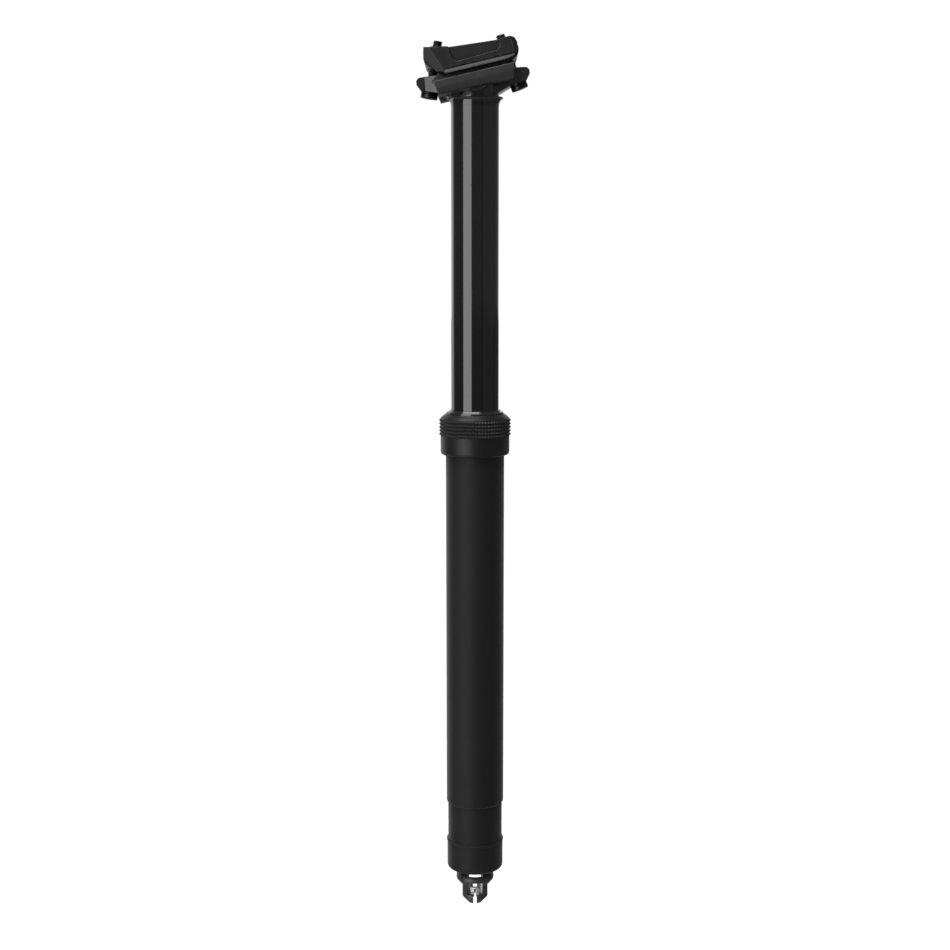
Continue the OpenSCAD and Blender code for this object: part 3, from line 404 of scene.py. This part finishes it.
@dataclass
class Studio:
    """The white sweep, the lamps and the camera, in metres and in degrees round the post's axis.

    Azimuths are measured from the camera's side of the object, positive to the image's right.
    """

    camera_place: tuple[float, float, float] = (0.0, -0.817, 0.1057)
    camera_dip: float = 8.17
    lens: float = 57.6
    sensor: float = 36.0
    clip: tuple[float, float] = (0.01, 50)
    floor_height: float = -1.2
    floor_size: float = 60.0
    floor_colour: str = "#f7f7f7"
    floor_reflected: str = "#8a8a8a"
    floor_glow: float = 0.62
    paper_fibres: float = 900.0
    paper_relief: float = 0.0001
    lamp_height: float = -0.05
    key_azimuth: float = -37.5
    key_distance: float = 1.6
    key_size: tuple[float, float] = (1.2, 2.2)
    key_radiance: float = 3.2
    fill_azimuth: float = 69.0
    fill_distance: float = 1.2
    fill_size: tuple[float, float] = (1.44, 2.0)
    fill_radiance: float = 0.05
    back_azimuth: float = -138.0
    back_distance: float = 1.7
    back_size: tuple[float, float] = (0.8, 1.8)
    back_radiance: float = 1.0
    top_place: tuple[float, float, float] = (-0.3, -0.5, 1.5)
    top_size: tuple[float, float] = (1.6, 1.2)
    top_radiance: float = 5.8
    card_azimuth: float = 35.0
    card_distance: float = 1.1
    card_width: float = 0.05
    card_colour: str = "#050505"
    ambient: float = 0.42
    mirrored_sides: tuple[float, float] = (0.15, 0.19)
    mirrored_behind: tuple[float, float] = (0.70, 0.97)

    def camera(self) -> None:
        """Sets the camera at the photograph's viewing angle."""
        data = bpy.data.cameras.new("camera")
        data.lens, data.sensor_width, data.sensor_height = self.lens, self.sensor, self.sensor
        data.clip_start, data.clip_end = self.clip
        camera = bpy.data.objects.new("camera", data)
        camera.location = self.camera_place
        camera.rotation_euler = (math.radians(90 - self.camera_dip), 0, 0)
        bpy.context.scene.collection.objects.link(camera)
        bpy.context.scene.camera = camera

    def hang(self, name: str, size: tuple[float, float], radiance: float) -> bpy.types.Object:
        """Makes a soft box that still has to be put in its place.

        Args:
            name: The lamp's name.
            size: Its width and height.
            radiance: How bright its face looks, where 1 is white.

        Returns:
            The lamp.
        """
        data = bpy.data.lights.new(name, "AREA")
        data.shape = "RECTANGLE"
        data.size, data.size_y = size
        data.energy = radiance * math.pi * size[0] * size[1]
        lamp = bpy.data.objects.new(name, data)
        bpy.context.scene.collection.objects.link(lamp)
        return lamp

    def side_lamp(self, name: str, azimuth: float, distance: float, size: tuple[float, float],
                  radiance: float) -> None:
        """Stands a soft box upright, facing the post.

        Args:
            name: The lamp's name.
            azimuth: Its direction from the post, in degrees from the camera's side.
            distance: How far it stands from the post.
            size: Its width and height.
            radiance: How bright its face looks, where 1 is white.
        """
        lamp = self.hang(name, size, radiance)
        turn = math.radians(azimuth)
        lamp.location = (distance * math.sin(turn), -distance * math.cos(turn), self.lamp_height)
        lamp.rotation_euler = (math.radians(90), 0, turn)

    def top_lamp(self) -> None:
        """Hangs a soft box overhead, a little on the camera's side, which lights shoulders and lips."""
        lamp = self.hang("top soft box", self.top_size, self.top_radiance)
        lamp.location = self.top_place
        lamp.rotation_euler = Vector(self.top_place).to_track_quat("Z", "Y").to_euler()

    def world(self) -> None:
        """Makes a white room: plain white behind the object, and dimmer on the camera's side."""
        world = bpy.data.worlds.new("white studio")
        bpy.context.scene.world = world
        world.use_nodes = True
        tree = world.node_tree
        tree.nodes.clear()
        path = add_node(tree, "ShaderNodeLightPath")
        way = add_node(tree, "ShaderNodeTexCoord").outputs["Generated"]
        parts = add_node(tree, "ShaderNodeSeparateXYZ", links={0: way})
        left, right = self.mirrored_sides
        across = add_node(tree, "ShaderNodeMapRange", {"From Min": -1.0, "From Max": 1.0, "To Min": left,
                                                       "To Max": right}, {"Value": parts.outputs["X"]})
        grey, white = self.mirrored_behind
        behind = add_node(tree, "ShaderNodeMapRange", {"From Min": grey, "From Max": white},
                          {"Value": parts.outputs["Y"]})
        room = add_node(tree, "ShaderNodeMath", {}, {0: across.outputs["Result"],
                                                     1: behind.outputs["Result"]}, operation="MAXIMUM")
        mirror = add_node(tree, "ShaderNodeMath", links={0: path.outputs["Is Glossy Ray"],
                                                         1: path.outputs["Is Transmission Ray"]},
                          operation="MAXIMUM")
        reflected = add_node(tree, "ShaderNodeMix", {"A": self.ambient},
                             {"Factor": mirror.outputs["Value"], "B": room.outputs["Value"]})
        seen = add_node(tree, "ShaderNodeMix", {"B": 1.0}, {"Factor": path.outputs["Is Camera Ray"],
                                                            "A": reflected.outputs["Result"]})
        light = add_node(tree, "ShaderNodeBackground", {"Color": (1, 1, 1, 1)},
                         {"Strength": seen.outputs["Result"]})
        add_node(tree, "ShaderNodeOutputWorld", links={"Surface": light.outputs["Background"]})

    def card(self) -> None:
        """Stands a thin black card between the lamps, which draws the dark line down the polished post."""
        bpy.ops.object.select_all(action="DESELECT")
        bpy.ops.mesh.primitive_plane_add(size=1, rotation=(math.radians(90), 0, 0))
        card = bpy.context.object
        card.name = "black_card"
        card.scale = (self.card_width, 2 * abs(self.floor_height), 1)
        bpy.ops.object.transform_apply(location=True, rotation=True, scale=True)
        turn = math.radians(self.card_azimuth)
        stand = Vector((self.card_distance * math.sin(turn), -self.card_distance * math.cos(turn), 0))
        card.data.transform(Matrix.Translation(stand) @ Matrix.Rotation(turn, 4, "Z"))
        felt = bpy.data.materials.new("black felt")
        felt.use_nodes = True
        tree = felt.node_tree
        tree.nodes.clear()
        matt = add_node(tree, "ShaderNodeBsdfDiffuse", {"Color": linear(self.card_colour)})
        path = add_node(tree, "ShaderNodeLightPath")
        clear = add_node(tree, "ShaderNodeBsdfTransparent")
        shown = add_node(tree, "ShaderNodeMixShader", links={0: path.outputs["Is Glossy Ray"],
                                                             1: clear.outputs["BSDF"],
                                                             2: matt.outputs["BSDF"]})
        add_node(tree, "ShaderNodeOutputMaterial", links={"Surface": shown.outputs["Shader"]})
        card.data.materials.append(felt)

    def floor(self) -> None:
        """Lays a pale sweep under the post that looks white and keeps the post's faint shadow."""
        bpy.ops.object.select_all(action="DESELECT")
        bpy.ops.mesh.primitive_grid_add(x_subdivisions=8, y_subdivisions=8, size=self.floor_size,
                                        location=(0, 0, self.floor_height))
        floor = bpy.context.object
        floor.name = "pale_sweep"
        bpy.ops.object.transform_apply(location=True, rotation=True, scale=True)
        paper = bpy.data.materials.new("white seamless paper")
        paper.use_nodes = True
        tree = paper.node_tree
        tree.nodes.clear()
        path = add_node(tree, "ShaderNodeLightPath")
        place_on = add_node(tree, "ShaderNodeTexCoord").outputs["Object"]
        fibre = add_node(tree, "ShaderNodeTexNoise", {"Scale": self.paper_fibres}, {"Vector": place_on})
        bump = add_node(tree, "ShaderNodeBump", {"Strength": 0.1, "Distance": self.paper_relief},
                        {"Height": fibre.outputs["Fac"]})
        tone = add_node(tree, "ShaderNodeMix",
                        {"A": linear(self.floor_colour), "B": linear(self.floor_reflected)},
                        {"Factor": path.outputs["Is Glossy Ray"]}, data_type="RGBA")
        matt = add_node(tree, "ShaderNodeBsdfDiffuse", {}, {"Color": tone.outputs["Result"],
                                                            "Normal": bump.outputs["Normal"]})
        to_camera = add_node(tree, "ShaderNodeMath", {1: self.floor_glow},
                             {0: path.outputs["Is Camera Ray"]}, operation="MULTIPLY")
        glow = add_node(tree, "ShaderNodeEmission", {"Color": (1, 1, 1, 1)},
                        {"Strength": to_camera.outputs["Value"]})
        both = add_node(tree, "ShaderNodeAddShader", links={0: matt.outputs["BSDF"],
                                                            1: glow.outputs["Emission"]})
        add_node(tree, "ShaderNodeOutputMaterial", links={"Surface": both.outputs["Shader"]})
        floor.data.materials.append(paper)

    def build(self) -> None:
        """Sets up the whole studio."""
        self.camera()
        self.world()
        self.floor()
        self.side_lamp("key soft box", self.key_azimuth, self.key_distance, self.key_size,
                       self.key_radiance)
        self.top_lamp()
        self.card()
        self.side_lamp("fill panel", self.fill_azimuth, self.fill_distance, self.fill_size,
                       self.fill_radiance)
        self.side_lamp("back panel", self.back_azimuth, self.back_distance, self.back_size,
                       self.back_radiance)
        bpy.context.scene.view_settings.view_transform = "Standard"
        LOG.info("studio: camera, four lamps, black card and white sweep")


@dataclass
class Assembly:
    """A sub-assembly whose CAD nodes already have the right shape and only need their finish."""

    name: str
    finishes: dict[Finish, tuple[str, ...]]

    def build(self) -> None:
        """Dresses each node of the sub-assembly."""
        for finish, nodes in self.finishes.items():
            for node in nodes:
                dress(frame["nodes"][node], finish)
                LOG.info("%s: %s in %s", self.name, node, finish.name)


@dataclass
class ClampBolt:
    """A socket-head bolt with a rolled metric thread. Lengths are in millimetres along its axis."""

    node: str
    joint: str
    radius: float = 2.5
    pitch: float = 0.8
    thread_depth: float = 0.42
    head_radius: float = 4.5
    head_height: float = 2.4
    key_across_flats: float = 3.0
    key_depth: float = 1.6
    tip_chamfer: float = 0.6
    head_rounding: float = 0.45
    rounded_turn: float = 40.0
    washer_gap: float = 0.03
    root_overlap: float = 0.37
    lead_in: float = 1.37
    spare_turns: int = 3
    tool_overlap: float = 1.0
    tip_clearance: float = 0.01
    steps: int = 28
    tip_sides: int = 48
    head_sides: int = 64

    def axis(self) -> tuple[Vector, Vector]:
        """Finds the bolt's axis from its joint.

        Returns:
            A point on the axis, in metres, and its direction towards the tip.
        """
        joint = next(j for j in frame["joints"] if j["name"] == self.joint)
        return Vector(joint["pos_m"]), Vector(joint["axis"]).normalized()

    def reach(self, point: Vector, along: Vector) -> tuple[float, float]:
        """Measures the CAD bolt from the point on its axis.

        Args:
            point: A point on the axis.
            along: The axis's direction.

        Returns:
            The head's end and the tip, in millimetres along the axis.
        """
        mesh = frame["nodes"][self.node].data
        spots = [(v.co - point).dot(along) / MM for v in mesh.vertices]
        return min(spots), max(spots)

    def shank(self, low: float, high: float) -> bpy.types.Object:
        """Screws a thread's outline up the axis and cuts it flat at both ends.

        Args:
            low: Where the shank leaves the head.
            high: The tip.

        Returns:
            The threaded shank, closed, with its axis on Z.
        """
        turns = math.ceil((high - low) / self.pitch) + self.spare_turns
        start = low - self.lead_in * self.pitch
        root, flat = self.radius - self.thread_depth, self.pitch / 8
        outline = [(root, 0.0), (root, flat * 2), (self.radius, self.pitch / 2 + flat / 2),
                   (self.radius, self.pitch / 2 + flat * 1.5), (root, self.pitch)]
        mesh = bpy.data.meshes.new(self.node)
        mesh.from_pydata([(r * MM, 0, (start + z) * MM) for r, z in outline],
                         [(i, i + 1) for i in range(len(outline) - 1)], [])
        shank = bpy.data.objects.new("threaded shank of " + self.node, mesh)
        bpy.context.scene.collection.objects.link(shank)
        apply_modifier(shank, "SCREW", axis="Z", angle=2 * math.pi, screw_offset=self.pitch * MM,
                       iterations=turns, steps=self.steps, render_steps=self.steps,
                       use_merge_vertices=True, merge_threshold=SEAM * MM)
        bpy.ops.object.mode_set(mode="EDIT")
        for height, upper in ((low, False), (high, True)):
            bpy.ops.mesh.select_all(action="SELECT")
            bpy.ops.mesh.bisect(plane_co=(0, 0, height * MM), plane_no=(0, 0, 1), use_fill=True,
                                clear_outer=upper, clear_inner=not upper)
        bpy.ops.mesh.select_all(action="SELECT")
        bpy.ops.mesh.normals_make_consistent(inside=False)
        bpy.ops.object.mode_set(mode="OBJECT")
        return shank

    def tool(self, radius: float, low: float, high: float, sides: int, tip_radius: float | None = None,
             ) -> bpy.types.Object:
        """Adds a cone or prism on the Z axis, to shape the bolt with.

        Args:
            radius: Its radius at the bottom.
            low: Its bottom.
            high: Its top.
            sides: Number of sides.
            tip_radius: Its radius at the top, where that differs.

        Returns:
            The new object.
        """
        bpy.ops.object.select_all(action="DESELECT")
        bpy.ops.mesh.primitive_cone_add(vertices=sides, radius1=radius * MM,
                                        radius2=(radius if tip_radius is None else tip_radius) * MM,
                                        depth=(high - low) * MM, location=(0, 0, (high + low) / 2 * MM))
        bpy.ops.object.transform_apply(location=True, rotation=True, scale=True)
        return bpy.context.object

    def cut(self, piece: bpy.types.Object, other: bpy.types.Object, operation: str) -> None:
        """Applies a boolean with another object and deletes that object.

        Args:
            piece: The object that stays.
            other: The object that is cut out, added or kept in common.
            operation: DIFFERENCE, UNION or INTERSECT.
        """
        apply_modifier(piece, "BOOLEAN", object=other, operation=operation, solver="EXACT")
        bpy.data.objects.remove(other)

    def build(self) -> None:
        """Models the bolt on the Z axis and lays it along its joint's axis, just clear of its washer."""
        point, along = self.axis()
        head_end, tip = self.reach(point, along)
        seat = head_end + self.head_height - self.washer_gap
        bolt = self.shank(seat - self.root_overlap, tip)
        low = seat - self.tool_overlap
        point_tool = self.tool(self.radius + self.tip_clearance + (tip - low), low, tip, self.tip_sides,
                               self.radius - self.tip_chamfer)
        self.cut(bolt, point_tool, "INTERSECT")
        head = self.tool(self.head_radius, head_end, seat, self.head_sides)
        apply_modifier(head, "BEVEL", width=self.head_rounding * MM, segments=3, limit_method="ANGLE",
                       angle_limit=math.radians(self.rounded_turn))
        key = self.tool(self.key_across_flats / math.sqrt(3), head_end - self.tool_overlap,
                        head_end + self.key_depth, 6)
        self.cut(head, key, "DIFFERENCE")
        self.cut(bolt, head, "UNION")
        bolt.data.transform(Matrix.Translation(point) @ along.to_track_quat("Z", "Y").to_matrix().to_4x4())
        bolt.name = self.node + "_with_thread"
        select_only(bolt)
        bpy.ops.object.shade_smooth_by_angle(angle=math.radians(CRISP_TURNED))
        place(bolt, BLACK_OXIDE, self.node, self.node)


@dataclass
class RoundedPart:
    """A forging, casting or moulding whose CAD solid only lacks the rounding of its edges."""

    node: str
    body: str
    edge: float
    finish: Finish

    def build(self) -> None:
        """Rounds and dresses the part."""
        piece = softened(self.node, self.node + "_with_rounded_edges", self.edge)
        place(piece, self.finish, self.body, self.node)


@dataclass
class NeckFlare:
    """The bell that spreads from the post into the forged head. Lengths are in millimetres."""

    post_radius: float = 12.7
    spread: float = 2.0
    drop: float = 4.2
    sink: float = 0.6
    skin: float = 0.02
    bite: float = 0.05
    curve_points: int = 10
    steps: int = 96

    def outline(self, top: float) -> list[tuple[float, float]]:
        """Draws the bell's section, from the post's wall up and out to the head.

        Args:
            top: The height of the head's underside.

        Returns:
            Radius and height of each point, in order round the section.
        """
        quarter = [math.pi / 2 * i / self.curve_points for i in range(self.curve_points + 1)]
        bell = [(self.post_radius + self.skin + self.spread * (1 - math.cos(turn)),
                 top - self.drop * (1 - math.sin(turn))) for turn in quarter]
        wall = self.post_radius - self.bite
        return [(wall, top - self.drop), *bell, (bell[-1][0], top + self.sink), (wall, top + self.sink)]

    def build(self) -> None:
        """Spins the section round the post and gives it the post's finish."""
        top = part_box("stanchion")[1][2] / MM
        outline = self.outline(top)
        mesh = bpy.data.meshes.new("neck_flare")
        mesh.from_pydata([(r * MM, 0, z * MM) for r, z in outline],
                         [(i, (i + 1) % len(outline)) for i in range(len(outline))], [])
        flare = bpy.data.objects.new("neck_flare", mesh)
        bpy.context.scene.collection.objects.link(flare)
        apply_modifier(flare, "SCREW", axis="Z", angle=2 * math.pi, steps=self.steps,
                       render_steps=self.steps, use_merge_vertices=True, merge_threshold=SEAM * MM)
        bpy.ops.object.mode_set(mode="EDIT")
        bpy.ops.mesh.select_all(action="SELECT")
        bpy.ops.mesh.normals_make_consistent(inside=False)
        bpy.ops.object.mode_set(mode="OBJECT")
        bpy.ops.object.shade_smooth_by_angle(angle=math.radians(CRISP_TURNED))
        dress(flare, GLOSS_BLACK)
        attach(flare, "post")
        LOG.info("neck_flare is %.1f mm wider than the post", 2 * self.spread)


@dataclass
class ReturnSpring:
    """The wound spring between the cage's flange and the carriage. Lengths are in millimetres."""

    coil_radius: float = 6.8
    wire_radius: float = 0.5
    turns: int = 4
    steps: int = 56
    wire_sides: int = 14
    pull: float = 1.9

    def build(self) -> None:
        """Winds the wire with a screw and lets the spring ride on the actuator's body."""
        low, high = (corner[2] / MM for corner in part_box("return_spring"))
        rise = high - low - 2 * self.wire_radius
        bpy.ops.object.select_all(action="DESELECT")
        bpy.ops.mesh.primitive_circle_add(vertices=self.wire_sides, radius=self.wire_radius * MM,
                                          location=(self.coil_radius * MM, 0,
                                                    (low + self.wire_radius) * MM),
                                          rotation=(math.radians(90), 0, 0))
        spring = bpy.context.object
        spring.name = "wound_return_spring"
        bpy.ops.object.transform_apply(location=True, rotation=True, scale=True)
        apply_modifier(spring, "SCREW", axis="Z", angle=2 * math.pi, iterations=self.turns,
                       screw_offset=rise / self.turns * MM, steps=self.steps, render_steps=self.steps)
        bpy.ops.object.mode_set(mode="EDIT")
        bpy.ops.mesh.select_all(action="SELECT")
        bpy.ops.mesh.remove_doubles(threshold=SEAM * MM)
        bpy.ops.mesh.fill_holes(sides=0)
        bpy.ops.mesh.select_all(action="SELECT")
        bpy.ops.mesh.normals_make_consistent(inside=False)
        bpy.ops.object.mode_set(mode="OBJECT")
        bpy.ops.object.shade_smooth_by_angle(angle=math.radians(CRISP_WIRE))
        place(spring, PLAIN_STEEL, "actuator", "return_spring")
        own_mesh(spring)


def assemblies() -> list[Any]:
    """Lists the sub-assemblies in the order in which they are put together.

    Returns:
        The sub-assemblies, ready to build.
    """
    return [
        Assembly("outer tube", {SATIN_BLACK: ("outer_tube", "base_housing", "base_cap"),
                                CROWN_BLACK: ("collar",),
                                RUBBER: ("bottom_bumper",), FELT: ("collar_seal",),
                                BUSH_POLYMER: ("upper_bushing",), BLACK_OXIDE: ("base_grub_screws",)}),
        Assembly("actuator", {NICKEL: ("cable_carriage", "cable_barrel"),
                              PLAIN_STEEL: ("valve_pull_rod",)}),
        ReturnSpring(),
        Assembly("sliding post", {GLOSS_BLACK: ("stanchion",), BUSH_POLYMER: ("lower_guide",),
                                  BRASS: ("guide_keys",)}),
        Assembly("cartridge", {PLAIN_STEEL: ("piston_rod", "rod_nut"),
                               PLAIN_ALUMINIUM: ("gas_cylinder", "cylinder_end_cap", "cylinder_top_plug",
                                                 "cartridge_lock_ring", "piston", "floating_piston"),
                               RUBBER: ("piston_seal", "rod_seal", "floating_seal")}),
        RoundedPart("head", "post", 0.8, HEAD_BLACK),
        # The cradle's finish has painted light: its colour is paler than the clamp's, standing in for light
        # on its curved faces.
        RoundedPart("lower_cradle", "clamp", 0.7, CRADLE_BLACK_PAINTED_LIGHTER),
        RoundedPart("upper_clamp", "clamp", 0.9, FORGED_BLACK),
        RoundedPart("cable_cage", "lower", 0.25, CAGE_GREY),
        RoundedPart("wiper_seal", "lower", 0.6, SEAL_RUBBER),
        NeckFlare(),
        Assembly("saddle clamp", {BLACK_OXIDE: ("front_washer", "rear_washer", "front_nut",
                                                "rear_nut")}),
        ClampBolt("front_bolt", "front_bolt_turn"),
        ClampBolt("rear_bolt", "rear_bolt_turn"),
    ]


def main() -> None:
    """Builds the studio and the seatpost."""
    logging.basicConfig(level=logging.INFO, format="%(name)s: %(message)s")
    Studio().build()
    for part in assemblies():
        part.build()


if __name__ == "__main__":
    main()
